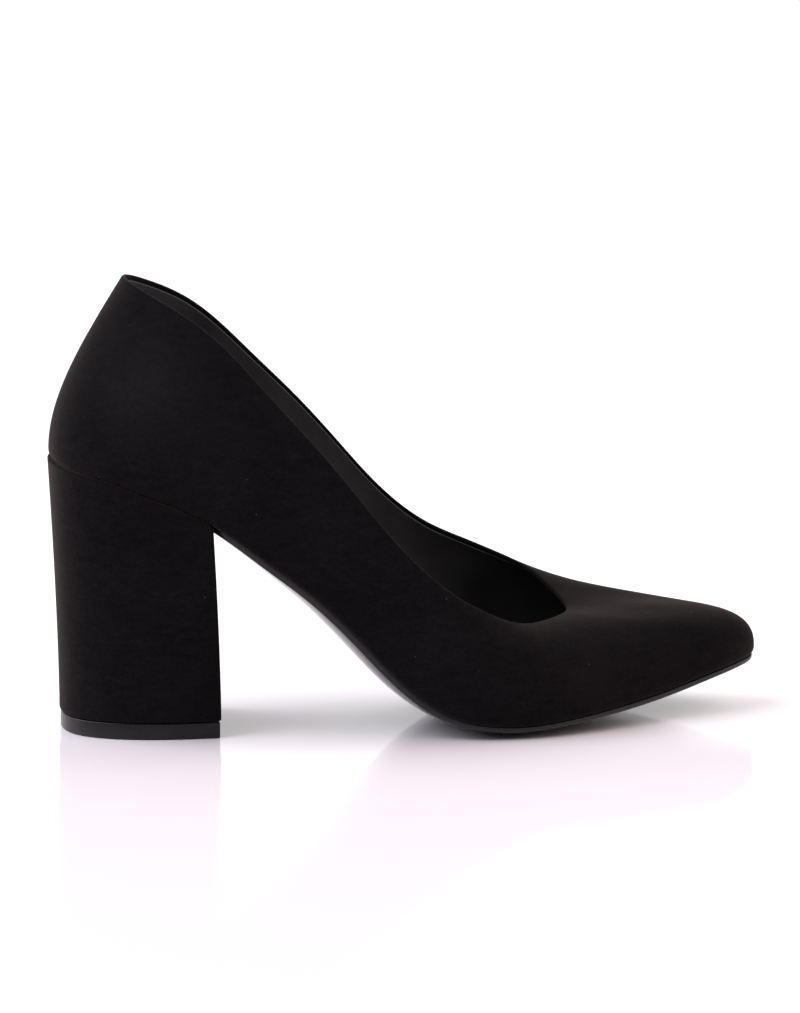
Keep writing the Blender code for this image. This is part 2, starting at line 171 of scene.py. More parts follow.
# What each column of the ribs is a share of
RIB_SIZES = np.concatenate(
    [
        (LENGTH, BALL_WIDTH),  # foot_x, foot_y
        (LENGTH, BALL_WIDTH),  # top_x, top_y
        (BACK_HEIGHT, BALL_WIDTH, BACK_HEIGHT),  # rise, flare, lift
        (LENGTH, BALL_WIDTH, BACK_HEIGHT),  # lead_x, lead_y, lead_z
    ]
)
TOE_RIB = max(range(len(RIBS)), key=lambda row: RIBS[row][0])
MARGIN_SPINE = 0.13, 0.9  # the lasting margin points to this stretch of the shoe's middle line

# Soft ridges of the upper, and troughs, whose height is below 0
CREASES = [
    # Each follows a line between two ends, seen from one side. An end is so far along the shoe and up
    # from the floor, or across the shoe where it is seen from above. width is half of the crease's
    # width. All are in mm.
    # side, a_1, b_1, a_2, b_2, width, height
    ("outer", 19, 128, 14, 100, 4.5, -0.30),
    ("outer", 33, 126, 31, 104, 9.0, 0.35),
    ("outer", 49, 96, 62, 84, 8.0, -0.30),
    ("outer", 122, 41, 112, 22, 4.0, -0.16),
    ("outer", 132, 37, 124, 16, 4.0, 0.14),
    ("outer", 143, 33, 136, 14, 4.5, -0.18),
    ("outer", 168, 30, 192, 24, 6.0, 0.30),
    ("outer", 176, 18, 205, 20, 7.0, -0.22),
    ("inner", 19, 128, 14, 100, 4.5, -0.30),
    ("inner", 60, 92, 84, 66, 9.0, -0.35),
    ("inner", 118, 42, 110, 24, 4.0, -0.18),
    ("inner", 130, 40, 122, 18, 4.0, 0.15),
    ("inner", 141, 38, 134, 16, 4.5, -0.20),
    ("top", 170, -10, 196, 2, 5.0, 0.22),
    ("top", 171, 16, 198, 9, 5.5, -0.18),
]

# The photo's angle to the shoe in degrees, and how much of the floor round it shows
VIEW_AZIMUTH = -6
VIEW_ELEVATION = 12
VIEW_DISTANCE = 3.5
VIEW_TARGET = Vector((0, 0, 60 * MM))
VIEW_WIDTH = 257.4 * MM
VIEW_SHIFT = -1.4 * MM, 9.5 * MM  # of the aim from the target, to the right and up
SENSOR = 36  # the camera's sensor, in the camera's own millimetres

# The pale surroundings
FRONT_SKY = 0.08  # strength in front of the shoe
BACK_SKY = 1.06  # strength behind it
SKY_EDGE = 0.25  # how gently one turns into the other
BRIGHT_SKY = -0.12, 0.98, 0.12  # the direction of the bright part

# The lights beside the shoe, in metres and watts, each aimed at a point of it
LIGHTS = [
    # name, place, aim, size, power, colour
    ("left", (-1.6, -0.2, 1.6), (-0.05, 0, 0.08), 2.4, 68, (0.93, 0.94, 1.0)),
    ("right", (1.6, -0.3, 1.3), (0.05, 0, 0.03), 2.0, 29, (1.0, 0.90, 0.82)),
]
FLOOR_REACH = 12  # metres from the middle of the floor to each edge

# Colours, from the darkest tone of a material to its lightest
SUEDE_DARK, SUEDE_LIGHT = (0.0026, 0.0022, 0.0028), (0.0078, 0.0066, 0.0079)
# The suede's painted highlight on the outer quarter
SUEDE_PAINTED_HIGHLIGHT = 0.0165, 0.0150, 0.0178
DUST = 0.10, 0.10, 0.10
LINING_DARK, LINING_LIGHT = (0.028, 0.026, 0.027), (0.042, 0.039, 0.040)
LACQUER_DARK, LACQUER_LIGHT = (0.0022, 0.0021, 0.0023), (0.0036, 0.0034, 0.0036)
RUBBER_DARK, RUBBER_LIGHT = (0.0075, 0.0068, 0.0078), (0.0115, 0.0105, 0.0120)
FLOOR_DARK, FLOOR_LIGHT = (0.93, 0.865, 0.925), (0.95, 0.885, 0.945)

# Where a painted highlight lies on the outer quarter, in the imported frame, and how softly it ends
PAINTED_HIGHLIGHT_AT = -83 * MM, -22 * MM, 115 * MM
PAINTED_HIGHLIGHT_REACH = 26 * MM
PAINTED_HIGHLIGHT_FADE = 1.5


def cubic(knots, rows, closed=False):
    """The cubic spline through the rows, as a function of the parameter. Its curvature is continuous."""
    knots = np.asarray(knots, float)
    rows = np.asarray(rows, float)
    if closed:
        rows = np.vstack([rows, rows[:1]])
    span = np.diff(knots)
    slope = np.diff(rows, axis=0) / span[:, None]
    count = len(span) if closed else len(knots)
    matrix = np.eye(count)
    right = np.zeros((count, rows.shape[1]))
    for i in range(0 if closed else 1, len(span)):
        before, after = span[i - 1], span[i]
        matrix[i, i] = 2 * (before + after)
        matrix[i, i - 1] = before
        matrix[i, (i + 1) % count] = after
        right[i] = 6 * (slope[i] - slope[i - 1])
    bend = np.linalg.solve(matrix, right)
    if closed:
        bend = np.vstack([bend, bend[:1]])

    def at(t):
        t = np.atleast_1d(t)
        i = np.clip(np.searchsorted(knots, t, side="right") - 1, 0, len(span) - 1)
        h = span[i][:, None]
        b = (t - knots[i])[:, None] / h
        a = 1 - b
        curve = (a**3 - a) * bend[i] + (b**3 - b) * bend[i + 1]
        return a * rows[i] + b * rows[i + 1] + curve * h * h / 6

    return at


BED_TABLE = np.array(BED) / 100
BED_CURVE = cubic(BED_TABLE[:, 0] * LENGTH, BED_TABLE[:, 1:])
RIB_TABLE = np.array(RIBS) / 100 * RIB_SIZES
RIB_FEET = RIB_TABLE[:, :2]
RIB_KNOTS = np.concatenate(
    [[0], np.cumsum(np.linalg.norm(np.roll(RIB_FEET, -1, axis=0) - RIB_FEET, axis=1))]
)
RIB_CURVE = cubic(RIB_KNOTS, RIB_TABLE, closed=True)
BALL_BED = SOLE_THICKNESS + GAP - TREAD_FLAT


def unit(vectors):
    """The vectors at length 1."""
    return vectors / np.linalg.norm(vectors, axis=-1, keepdims=True)


def rib_parameters(steps):
    """Where the curves round the shoe are sampled: this many steps from each rib to the next."""
    share = np.arange(steps) / steps
    return np.concatenate(
        [a + (b - a) * share for a, b in zip(RIB_KNOTS[:-1], RIB_KNOTS[1:])]
    )


def ribs_round(steps):
    """(foot, top, rise, flare, lift, lead) of the ribs and of the curves through them."""
    ribs = RIB_CURVE(rib_parameters(steps))
    foot, top, rest, lead = np.split(ribs, (2, 4, 7), axis=1)
    return foot, top, *rest.T, lead


def square_to(line):
    """Directions square to a closed line of (x, y), to its right."""
    along = np.roll(line, -1, axis=0) - np.roll(line, 1, axis=0)
    return unit(np.stack([along[:, 1], -along[:, 0]], axis=1))


# The feather line seen from above, where the upper turns in under the foot
FINE_LINE, _, _, FINE_FLARE, FINE_LIFT, _ = ribs_round(LOOKUP_STEPS)
FINE_OUTWARD = square_to(FINE_LINE)
FINE_LEAN = FINE_FLARE / FINE_LIFT  # of the wall over it: outwards for each metre up


def side_lines(inset):
    """The outer and the inner side of the feather line moved in by inset, each as (x, y) rising in x.

    inset is a length, a function of x, or one length for each point of the line.
    """
    amount = inset(FINE_LINE[:, 0]) if callable(inset) else inset
    line = FINE_LINE - FINE_OUTWARD * np.reshape(amount, (-1, 1))
    toe = TOE_RIB * LOOKUP_STEPS
    outer = line[: toe + 1]
    inner = np.vstack([line[toe:], line[:1]])[::-1]
    for side in (outer, inner):
        side[:, 0] = np.maximum.accumulate(side[:, 0])
    return outer, inner


def sides_at(x, inset=0.0):
    """The y of the outer and of the inner side at each x."""
    outer, inner = side_lines(inset)
    return np.interp(x, *outer.T), np.interp(x, *inner.T)


def bed_centre(x):
    """Height of the bed along its middle line."""
    return BALL_BED + BED_CURVE(x)[:, :2] @ (HEEL_HEIGHT - BALL_BED, TOE_SPRING)


def bed_height(x, y, depth=0.0):
    """Height of the surface that lies depth under the bed, measured square to it."""
    shape = np.shape(x)
    x, y = np.clip(np.ravel(x), 0, LENGTH), np.ravel(y)
    rise = bed_centre(x + SLOPE_STEP) - bed_centre(x - SLOPE_STEP)
    slope = rise / (2 * SLOPE_STEP)
    outer, inner = sides_at(x)
    half = np.maximum((inner - outer) / 2, SLOPE_STEP)
    across = np.clip((y - (inner + outer) / 2) / half, -1, 1)
    crown = BED_CURVE(x)[:, 2] * BALL_WIDTH * across**2
    height = bed_centre(x) + crown - np.ravel(depth) * np.hypot(1, slope)
    return height.reshape(shape)


def on_bed(x, y, depth=0.0):
    """Points at (x, y), depth under the bed."""
    return np.stack([x, y, bed_height(x, y, depth)], axis=-1)


def ladder(x, outer, inner, columns):
    """(x, y) grids with a rung from the outer to the inner side at each x."""
    share = np.linspace(0, 1, columns)[None, :]
    across = outer[:, None] * (1 - share) + inner[:, None] * share
    return np.repeat(x[:, None], columns, axis=1), across


def sole_inset(x):
    """How far the sole's edge lies inside the feather line: furthest at the waist."""
    waist = np.exp(-(((x / LENGTH - WAIST_AT) / WAIST_REACH) ** 2))
    return SOLE_INSET + (WAIST_INSET - SOLE_INSET) * waist


def frame_shift():
    """From the shoe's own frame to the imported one, read from where the outsole's solid lies."""
    low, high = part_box("outsole")
    start = HEEL_LENGTH + GAP
    x = np.linspace(start, LENGTH - SOLE_INSET, SOLE_STATIONS)
    outer, inner = sides_at(x, sole_inset)
    return np.array([low.x - start, (low.y + high.y - outer.min() - inner.max()) / 2, 0])


SHIFT = frame_shift()


def stations(start, end, count):
    """Places from start to end, closer together near both."""
    return start + (end - start) * (1 - np.cos(np.linspace(0, math.pi, count))) / 2


def quarter_round(radius, steps):
    """Pairs of offsets that make a rounded edge, from (radius, 0) to (0, radius)."""
    return [
        (radius * (1 - math.sin(angle)), radius * (1 - math.cos(angle)))
        for angle in np.linspace(0, math.pi / 2, steps + 1)
    ]


def quads_between(low, high):
    """Quads between two closed rings of vertex numbers."""
    return np.stack([low, np.roll(low, -1), np.roll(high, -1), high], axis=1)


def mesh_of(name, points, faces):
    """A closed mesh with its faces out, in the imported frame. Points that meet are merged."""
    mesh = bpy.data.meshes.new(name)
    mesh.from_pydata((np.asarray(points) + SHIFT).tolist(), [], [list(f) for f in faces])
    made = bmesh.new()
    made.from_mesh(mesh)
    bmesh.ops.remove_doubles(made, verts=made.verts, dist=MEETING)
    bmesh.ops.dissolve_degenerate(made, edges=made.edges, dist=SLIVER)
    bmesh.ops.recalc_face_normals(made, faces=made.faces)
    made.to_mesh(mesh)
    made.free()
    return mesh


def finish_piece(name, mesh, look, slot, *nodes):
    """The piece as an object that stands for the solids and rides with the shoe."""
    mesh.shade_smooth()
    mesh.set_sharp_from_angle(angle=SHARP_ANGLE)
    mesh.materials.append(look)
    obj = bpy.data.objects.new(name, mesh)
    bpy.context.scene.collection.objects.link(obj)
    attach(obj, "root")
    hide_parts(*nodes)


def ring_mesh(name, rings):
    """A closed tube: each ring runs round the shoe, and the last ring meets the first."""
    count, around = rings.shape[:2]
    index = np.arange(count * around).reshape(count, around)
    faces = np.concatenate([quads_between(index[i - 1], index[i]) for i in range(count)])
    return mesh_of(name, rings.reshape(-1, 3), faces)


def stacked_grids(name, grids):
    """A closed mesh between grids of one shape: the first is its underside and the last its top."""
    grids = np.asarray(grids)
    count, rows, columns = grids.shape[:3]
    index = np.arange(count * rows * columns).reshape(count, rows, columns)
    faces = []
    for layer in (index[0], index[-1]):
        corners = layer[:-1, :-1], layer[1:, :-1], layer[1:, 1:], layer[:-1, 1:]
        faces.append(np.stack([c.ravel() for c in corners], axis=1))
    rims = [
        np.concatenate([g[:, 0], g[-1, 1:-1], g[::-1, -1], g[0, -2:0:-1]]) for g in index
    ]
    faces += [quads_between(low, high) for low, high in zip(rims[:-1], rims[1:])]
    faces = np.concatenate(faces)
    used, inverse = np.unique(faces, return_inverse=True)
    return mesh_of(name, grids.reshape(-1, 3)[used], inverse.reshape(faces.shape))


def segment_distance(points, start, end):
    """How far each point is from the line between start and end."""
    along = end - start
    share = np.clip((points - start) @ along / (along @ along), 0, 1)
    return np.linalg.norm(points - start - share[..., None] * along, axis=-1)


def creased(points, normals):
    """The points moved along their normals by the soft troughs and ridges."""
    views = {
        "outer": ((0, 2), -normals[..., 1]),
        "inner": ((0, 2), normals[..., 1]),
        "top": ((0, 1), normals[..., 2]),
    }
    raised = np.zeros(points.shape[:2])
    for side, a_1, b_1, a_2, b_2, width, height in CREASES:
        axes, facing = views[side]
        start, end = np.array([a_1, b_1]) * MM, np.array([a_2, b_2]) * MM
        away = segment_distance(points[..., axes], start, end) / (width * MM)
        raised += height * MM * np.exp(-(away**2)) * np.clip(CREASE_FACING * facing, 0, 1)
    return points + normals * raised[..., None]


def surface_normals(rings):
    """Normals of a grid of rings that run round the shoe, outer side first, from low to high."""
    around = np.roll(rings, -1, axis=1) - np.roll(rings, 1, axis=1)
    up = np.gradient(rings, axis=0)
    return unit(np.cross(around, up))


def lasted_surface():
    """(rings, first wall ring) of the upper's outer surface, from the margin's edge to the topline."""
    foot, top, rise, flare, lift, lead = ribs_round(STEPS_PER_RIB)
    p0 = on_bed(*foot.T)
    p1 = p0 + np.column_stack([square_to(foot) * flare[:, None], lift])
    p3 = np.column_stack([top, bed_centre(top[:, 0]) + rise])
    p2 = p3 - lead

    def wall(share):
        a, b = 1 - share, share
        return a**3 * p0 + 3 * a * a * b * p1 + 3 * a * b * b * p2 + b**3 * p3

    turn = WALL + FEATHER_RADIUS
    first = turn / (3 * np.linalg.norm(p1 - p0, axis=1))
    last = 1 - SUEDE / 2 / (3 * np.linalg.norm(lead, axis=1))
    spine_x = np.clip(foot[:, 0], MARGIN_SPINE[0] * LENGTH, MARGIN_SPINE[1] * LENGTH)
    spine = np.stack([spine_x, np.mean(sides_at(spine_x), axis=0)], axis=1)
    to_spine = unit(spine - foot)

    def margin(width):
        return on_bed(*(foot + to_spine * width).T)

    rings = [margin(width) for width in np.linspace(LASTING_MARGIN, turn, MARGIN_STEPS + 1)[:-1]]
    turn_in, turn_out = margin(turn), wall(first[:, None])
    for share in np.linspace(0, 1, TURN_STEPS + 1):
        a, b = 1 - share, share
        rings.append(a * a * turn_in + 2 * a * b * p0 + b * b * turn_out)
    for share in np.linspace(0, 1, WALL_STEPS + 1)[1:]:
        rings.append(wall((first + (last - first) * share)[:, None]))
    rings = np.array(rings)
    return creased(rings, surface_normals(rings)), MARGIN_STEPS + TURN_STEPS


def make_suede(look, rings, normals):
    """The upper's suede: out at the surface, folded over at the topline and down again inside."""
    up = unit(rings[-1] - rings[-2])
    out = normals[-1]
    radius = SUEDE / 2
    centre = rings[-1] - out * radius
    turn = np.linspace(0, math.pi, FOLD_STEPS + 1)[1:-1]
    fold = [centre + radius * (out * math.cos(t) + up * math.sin(t)) for t in turn]
    inside = rings - normals * SUEDE
    mesh = ring_mesh("upper_suede", np.concatenate([rings, np.array(fold), inside[::-1]]))
    finish_piece("upper_suede", mesh, look, "suede", "upper")


def make_lining(look, rings, normals, wall_start):
    """The lining, behind the suede, from the feather line up to just under the fold."""
    wall_rings = np.arange(wall_start, len(rings))
    drop = np.linalg.norm(rings[-1] - rings[wall_rings], axis=-1)
    under_top = LINING_DROP - SUEDE / 2
    highest = np.array([np.interp(-under_top, -column, wall_rings) for column in drop.T])
    share = np.linspace(0, 1, LINING_STEPS + 1)[:, None]
    at = wall_start + (highest - wall_start) * share
    columns = np.arange(rings.shape[1])[None, :]
    below = np.minimum(at.astype(int), len(rings) - 2)
    part = (at - below)[..., None]
    surface = rings[below, columns] * (1 - part) + rings[below + 1, columns] * part
    facing = unit(normals[below, columns] * (1 - part) + normals[below + 1, columns] * part)
    back, front = surface - facing * (WALL - LINING), surface - facing * WALL
    bulge = (surface[-1:] - surface[-2:-1]) * LINING_EDGE_BULGE
    edge = (back[-1:] + front[-1:]) / 2 + bulge
    mesh = ring_mesh("upper_lining", np.concatenate([back, edge, front[::-1]]))
    finish_piece("upper_lining", mesh, look, "lining", "upper")


def make_sock(look):
    """The insole with its sock, softly rounded at the edge."""

    def level(height, drawn_in):
        over_bed = WALL + INSOLE_GAP + height
        inset = WALL + SOCK_CLEARANCE + drawn_in - SOCK_LEAN * FINE_LEAN * over_bed
        end = LENGTH - WALL - INSOLE_TOE_CLEARANCE - drawn_in
        x = stations(inset[0], end, SOCK_STATIONS)
        outer, inner = sides_at(x, inset)
        middle = (outer[[0, -1]] + inner[[0, -1]]) / 2
        outer[[0, -1]] = inner[[0, -1]] = middle
        return on_bed(*ladder(x, outer, inner, SOCK_COLUMNS), -over_bed)

    grids = [level(0, 0)]
    for lowered, drawn_in in quarter_round(SOCK_EDGE_ROUND, SOCK_EDGE_STEPS):
        grids.append(level(INSOLE_THICKNESS - lowered, drawn_in))
    finish_piece("sock", stacked_grids("sock", grids), look, "lining", "insole")


def make_outsole(look):
    """Sheet sole with a softly rolled edge, levelled under the ball."""
    start = HEEL_LENGTH + GAP

    def level(drawn_in, share):
        x = stations(start, LENGTH - SOLE_INSET - drawn_in, SOLE_STATIONS)
        outer, inner = sides_at(x, lambda at: sole_inset(at) + drawn_in)
        outer[-1] = inner[-1] = (outer[-1] + inner[-1]) / 2
        short = np.clip(1 - (x - start) / SOLE_CORNER_ROUND, 0, 1)
        corner = SOLE_CORNER_ROUND * (1 - np.sqrt(1 - short**2))
        outer, inner = outer + corner, inner - corner
        across = np.linspace(-1, 1, SOLE_COLUMNS)
        fullness = np.minimum(1, 2 * (inner - outer) / BALL_WIDTH)[:, None]
        thickness = SOLE_EDGE + (SOLE_THICKNESS - SOLE_EDGE) * fullness * (1 - across**2)
        depth = SEAM + share * (thickness + GAP - SEAM)
        points = on_bed(*ladder(x, outer, inner, SOLE_COLUMNS), depth)
        points[..., 2] = np.maximum(points[..., 2], 0)
        return points

    grids = []
    for angle in np.linspace(math.pi / 2, 0, SOLE_EDGE_STEPS):
        grids.append(level(SOLE_EDGE_BEVEL * (1 - math.cos(angle)), math.sin(angle)))
    finish_piece(
        "outsole_sheet", stacked_grids("outsole_sheet", grids), look, "lacquered_sole", "outsole"
    )


def heel_outline(proud):
    """Closed outline of the heel at the seat as (x, y), evenly spaced, its breast corners rounded."""
    line = FINE_LINE + FINE_OUTWARD * proud
    outer, inner = sides_at(np.array([HEEL_LENGTH]), -proud)
    toe = TOE_RIB * LOOKUP_STEPS
    outer_side = [p for p in line[:toe] if p[0] < HEEL_LENGTH]
    inner_side = [p for p in line[toe:] if p[0] < HEEL_LENGTH]
    path = [(HEEL_LENGTH, inner[0])] + inner_side + outer_side + [(HEEL_LENGTH, outer[0])]
    path = np.array(path)
    corners = np.vstack([path, path[:1]])
    far = np.concatenate([[0], np.cumsum(np.linalg.norm(np.diff(corners, axis=0), axis=1))])
    even = np.linspace(0, far[-1], HEEL_AROUND, endpoint=False)
    points = np.stack([np.interp(even, far, corners[:, k]) for k in (0, 1)], axis=1)
    spacing = far[-1] / HEEL_AROUND
    reach = max(1, round(HEEL_CORNER_ROUND / spacing))
    window = np.hanning(2 * reach + 3)[1:-1]
    window /= window.sum()
    padded = np.vstack([points[-reach:], points, points[:reach]])
    smooth = np.stack([np.convolve(padded[:, k], window, "valid") for k in (0, 1)], axis=1)
    into_zone = points[:, 0] - (HEEL_LENGTH - CORNER_ZONE)
    rounded = np.clip(into_zone / CORNER_BLEND, 0, 1)[:, None]
    return points + (smooth - points) * rounded


def heel_ring(share, drawn_in):
    """(outline of the heel this share of the way down, drawn in a little; outline at the seat)."""
    seat = heel_outline(HEEL_PROUD)
    back = seat[:, 0].min()
    width = np.ptp(seat[:, 1])
    base = np.stack(
        [
            HEEL_BASE_SET_IN + HEEL_BASE_LENGTH * (seat[:, 0] - back) / (HEEL_LENGTH - back),
            seat[:, 1] * HEEL_BASE_WIDTH / width,
        ],
        axis=1,
    )
    blend = 1 - (1 - share) ** HEEL_TAPER
    plan = seat * (1 - blend) + base * blend
    return plan - square_to(plan) * drawn_in, seat


def shrunk_rings(ring):
    """Level copies of the ring that shrink to its middle."""
    middle = ring[:, :2].mean(axis=0)
    return [
        np.column_stack([middle + (ring[:, :2] - middle) * kept, ring[:, 2]])
        for kept in np.linspace(1, 0, CAP_RINGS + 1)[1:]
    ]


def capped_stack(name, rings, top_height=None):
    """A closed mesh of rings, its ends closed by rings that shrink to the middle.

    Both ends are level with their last ring, or the top one follows top_height(x, y).
    """
    bottom, top = shrunk_rings(rings[0]), shrunk_rings(rings[-1])
    if top_height is not None:
        for ring in top:
            ring[:, 2] = top_height(ring[:, 0], ring[:, 1])
    stack = np.array(bottom[::-1] + rings + top)
    count, around = stack.shape[:2]
    index = np.arange(count * around).reshape(count, around)
    faces = np.concatenate([quads_between(a, b) for a, b in zip(index[:-1], index[1:])])
    return mesh_of(name, stack.reshape(-1, 3), faces)


def seat_height(x, y):
    """Height of the heel's top, just under the upper."""
    return bed_height(x, y, GAP)


def make_heel(look):
    """The covered block, from the top piece up to the seat."""
    low = TOP_PIECE_THICKNESS + GAP

    def ring(share, drawn_in, raised):
        plan, seat = heel_ring(share, drawn_in)
        height = low * share + seat_height(*seat.T) * (1 - share)
        return np.column_stack([plan, height + raised])

    edge = quarter_round(HEEL_EDGE_ROUND, ROUND_STEPS)[:-1]
    trim = HEEL_EDGE_ROUND / HEEL_HEIGHT
    rings = [ring(1, drawn_in, raised) for drawn_in, raised in edge]
    rings += [ring(share, 0, 0) for share in np.linspace(1 - trim, trim, HEEL_LEVELS)]
    rings += [ring(0, drawn_in, -lowered) for drawn_in, lowered in edge[::-1]]
    mesh = capped_stack("heel_cover", rings, seat_height)
    finish_piece("heel_cover", mesh, look, "heel_suede", "heel")


def make_top_piece(look):
    """Heel tip: a flat slice under the heel, its edges a little rounded."""
    lower, upper = [], []
    for drawn_in, height in quarter_round(TOP_PIECE_ROUND, ROUND_STEPS):
        plan = heel_ring(1, TOP_PIECE_INSET + drawn_in)[0]
        lower.append(np.column_stack([plan, np.full(HEEL_AROUND, height)]))
        upper.append(np.column_stack([plan, np.full(HEEL_AROUND, TOP_PIECE_THICKNESS - height)]))
    mesh = capped_stack("top_piece_rubber", lower + upper[::-1])
    finish_piece("top_piece_rubber", mesh, look, "heel_rubber", "top_piece")


class Nodes:
    """Makes a material's nodes and their links in few words."""

    def __init__(self, name):
        self.material = bpy.data.materials.new(name)
        self.material.use_nodes = True
        self.tree = self.material.node_tree
        self.tree.nodes.clear()
        self.shader = self.add("ShaderNodeBsdfPrincipled")
        output = self.add("ShaderNodeOutputMaterial")
        self.link(self.shader.outputs[0], output.inputs["Surface"])
        coordinates = self.add("ShaderNodeTexCoord").outputs
        self.place, self.normal = coordinates["Object"], coordinates["Normal"]

    def add(self, kind, **settings):
        node = self.tree.nodes.new(kind)
        for key, value in settings.items():
            setattr(node, key, value)
        return node

    def link(self, source, target):
        self.tree.links.new(source, target)

    def drive(self, **sources):
        """Links each source to the shader's socket of that name."""
        for key, source in sources.items():
            self.link(source, self.shader.inputs[key.replace("_", " ")])

    def set(self, **values):
        """Sets each of the shader's sockets of these names."""
        for key, value in values.items():
            self.shader.inputs[key.replace("_", " ")].default_value = value

    def stretched(self, scale, turn=(0, 0, 0)):
        """Places scaled along each axis after a turn, for a texture with a direction."""
        node = self.add("ShaderNodeMapping")
        node.inputs["Scale"].default_value = scale
        node.inputs["Rotation"].default_value = turn
        self.link(self.place, node.inputs["Vector"])
        return node.outputs[0]

    def noise(self, scale=1.0, detail=2.0, roughness=0.5, place=None, distortion=0.0):
        node = self.add("ShaderNodeTexNoise")
        node.inputs["Scale"].default_value = scale
        node.inputs["Detail"].default_value = detail
        node.inputs["Roughness"].default_value = roughness
        node.inputs["Distortion"].default_value = distortion
        self.link(place or self.place, node.inputs["Vector"])
        return node.outputs[0]

    def cells(self, scale):
        """(distance from the middle of a cell, a colour that each cell has by chance)."""
        node = self.add("ShaderNodeTexVoronoi")
        node.inputs["Scale"].default_value = scale
        self.link(self.place, node.inputs["Vector"])
        return node.outputs["Distance"], node.outputs["Color"]

    def red(self, colour):
        """The red of a colour, as one number."""
        node = self.add("ShaderNodeSeparateColor")
        self.link(colour, node.inputs[0])
        return node.outputs[0]

    def distance(self, middle):
        """How far a point is from the middle."""
        node = self.add("ShaderNodeVectorMath", operation="DISTANCE")
        self.link(self.place, node.inputs[0])
        node.inputs[1].default_value = middle
        return node.outputs["Value"]

    def math(self, operation, a, b):
        """The operation on two values, each a number or a node's output."""
        node = self.add("ShaderNodeMath", operation=operation)
        for socket, value in zip(node.inputs, (a, b)):
            if isinstance(value, (int, float)):
                socket.default_value = value
            else:
                self.link(value, socket)
        return node.outputs[0]

    def blend(self, *parts):
        """The sum of (value, share) parts."""
        scaled = [self.math("MULTIPLY", value, share) for value, share in parts]
        total = scaled[0]
        for part in scaled[1:]:
            total = self.math("ADD", total, part)
        return total

    def spread(self, value, low, high, to_low=0, to_high=1):
        """The value mapped from low and high to to_low and to_high, and held there beyond them."""
        node = self.add("ShaderNodeMapRange")
        ends = {"From Min": low, "From Max": high, "To Min": to_low, "To Max": to_high}
        for key, amount in ends.items():
            node.inputs[key].default_value = amount
        self.link(value, node.inputs["Value"])
        return node.outputs[0]

    def mix(self, share, first, second):
        """A share of the second colour over the first. The node's colours are its sockets 6 and 7."""
        node = self.add("ShaderNodeMix", data_type="RGBA")
        self.link(share, node.inputs[0])
        for socket, value in ((node.inputs[6], first), (node.inputs[7], second)):
            if isinstance(value, tuple):
                socket.default_value = (*value, 1)
            else:
                self.link(value, socket)
        return node.outputs[2]

    def bump(self, height, distance, strength, after=None):
        """The height as fine relief, over any relief that came before."""
        node = self.add("ShaderNodeBump")
        node.inputs["Strength"].default_value = strength
        node.inputs["Distance"].default_value = distance
        self.link(height, node.inputs["Height"])
        if after is not None:
            self.link(after, node.inputs["Normal"])
        return node.outputs[0]


def suede_look(name):
    """Black suede: a short nap that is brushed lighter and darker, with a soft sheen, a little dust and a
    painted highlight on the outer quarter.
    """
    made = Nodes(name)
    patches = made.noise(scale=26, distortion=0.4)
    nap_lie = made.stretched(scale=(150, 150, 420), turn=(0, 0.5, 0))
    nap = made.noise(place=nap_lie, detail=3, roughness=0.6)
    mottle = made.noise(scale=900, detail=3, roughness=0.65)
    fibres = made.noise(place=made.stretched(scale=(1300, 1300, 3600)), roughness=0.7)

    tone = made.blend((patches, 0.34), (nap, 0.24), (mottle, 0.42))
    colour = made.mix(made.spread(tone, low=0.40, high=0.60), SUEDE_DARK, SUEDE_LIGHT)
    # A painted highlight on the outer quarter, lighter where the suede's tone is lighter, fading away from
    # its middle
    near = made.spread(made.distance(PAINTED_HIGHLIGHT_AT), low=0, high=PAINTED_HIGHLIGHT_REACH, to_low=1, to_high=0)
    painted_highlight = made.math("MULTIPLY", made.math("POWER", near, PAINTED_HIGHLIGHT_FADE), tone)
    colour = made.mix(painted_highlight, colour, SUEDE_PAINTED_HIGHLIGHT)

    speck, chance = made.cells(scale=300)
    fray = made.math("MULTIPLY", fibres, 0.06)
    ragged = made.math("ADD", speck, fray)
    tiny = made.spread(ragged, low=0.06, high=0.085, to_low=1, to_high=0)
    rare = made.spread(made.red(chance), low=0.90, high=0.91)
    colour = made.mix(made.math("MULTIPLY", tiny, rare), colour, DUST)

    cloudy = made.math("ADD", patches, mottle)
    rough = made.spread(cloudy, low=0.8, high=1.2, to_low=0.86, to_high=1.0)
    relief = made.bump(nap, distance=0.3 * MM, strength=0.3)
    relief = made.bump(mottle, distance=0.16 * MM, strength=0.7, after=relief)
    relief = made.bump(fibres, distance=0.09 * MM, strength=0.8, after=relief)
    made.drive(Base_Color=colour, Roughness=rough, Normal=relief)
    made.set(Specular_IOR_Level=0.05)
    made.set(Sheen_Weight=0.095, Sheen_Roughness=0.40, Sheen_Tint=(1.0, 0.77, 0.67, 1))
    return made.material


def lining_look():
    """Black lining: smooth split leather with a fine grain."""
    made = Nodes("lining")
    grain = made.cells(scale=900)[0]
    cloud = made.noise(scale=60, detail=3)
    colour = made.mix(made.spread(cloud, low=0.35, high=0.65), LINING_DARK, LINING_LIGHT)
    rough = made.spread(cloud, low=0.3, high=0.7, to_low=0.5, to_high=0.68)
    relief = made.bump(grain, distance=0.08 * MM, strength=0.35)
    made.drive(Base_Color=colour, Roughness=rough, Normal=relief)
    made.set(Specular_IOR_Level=0.3)
    return made.material


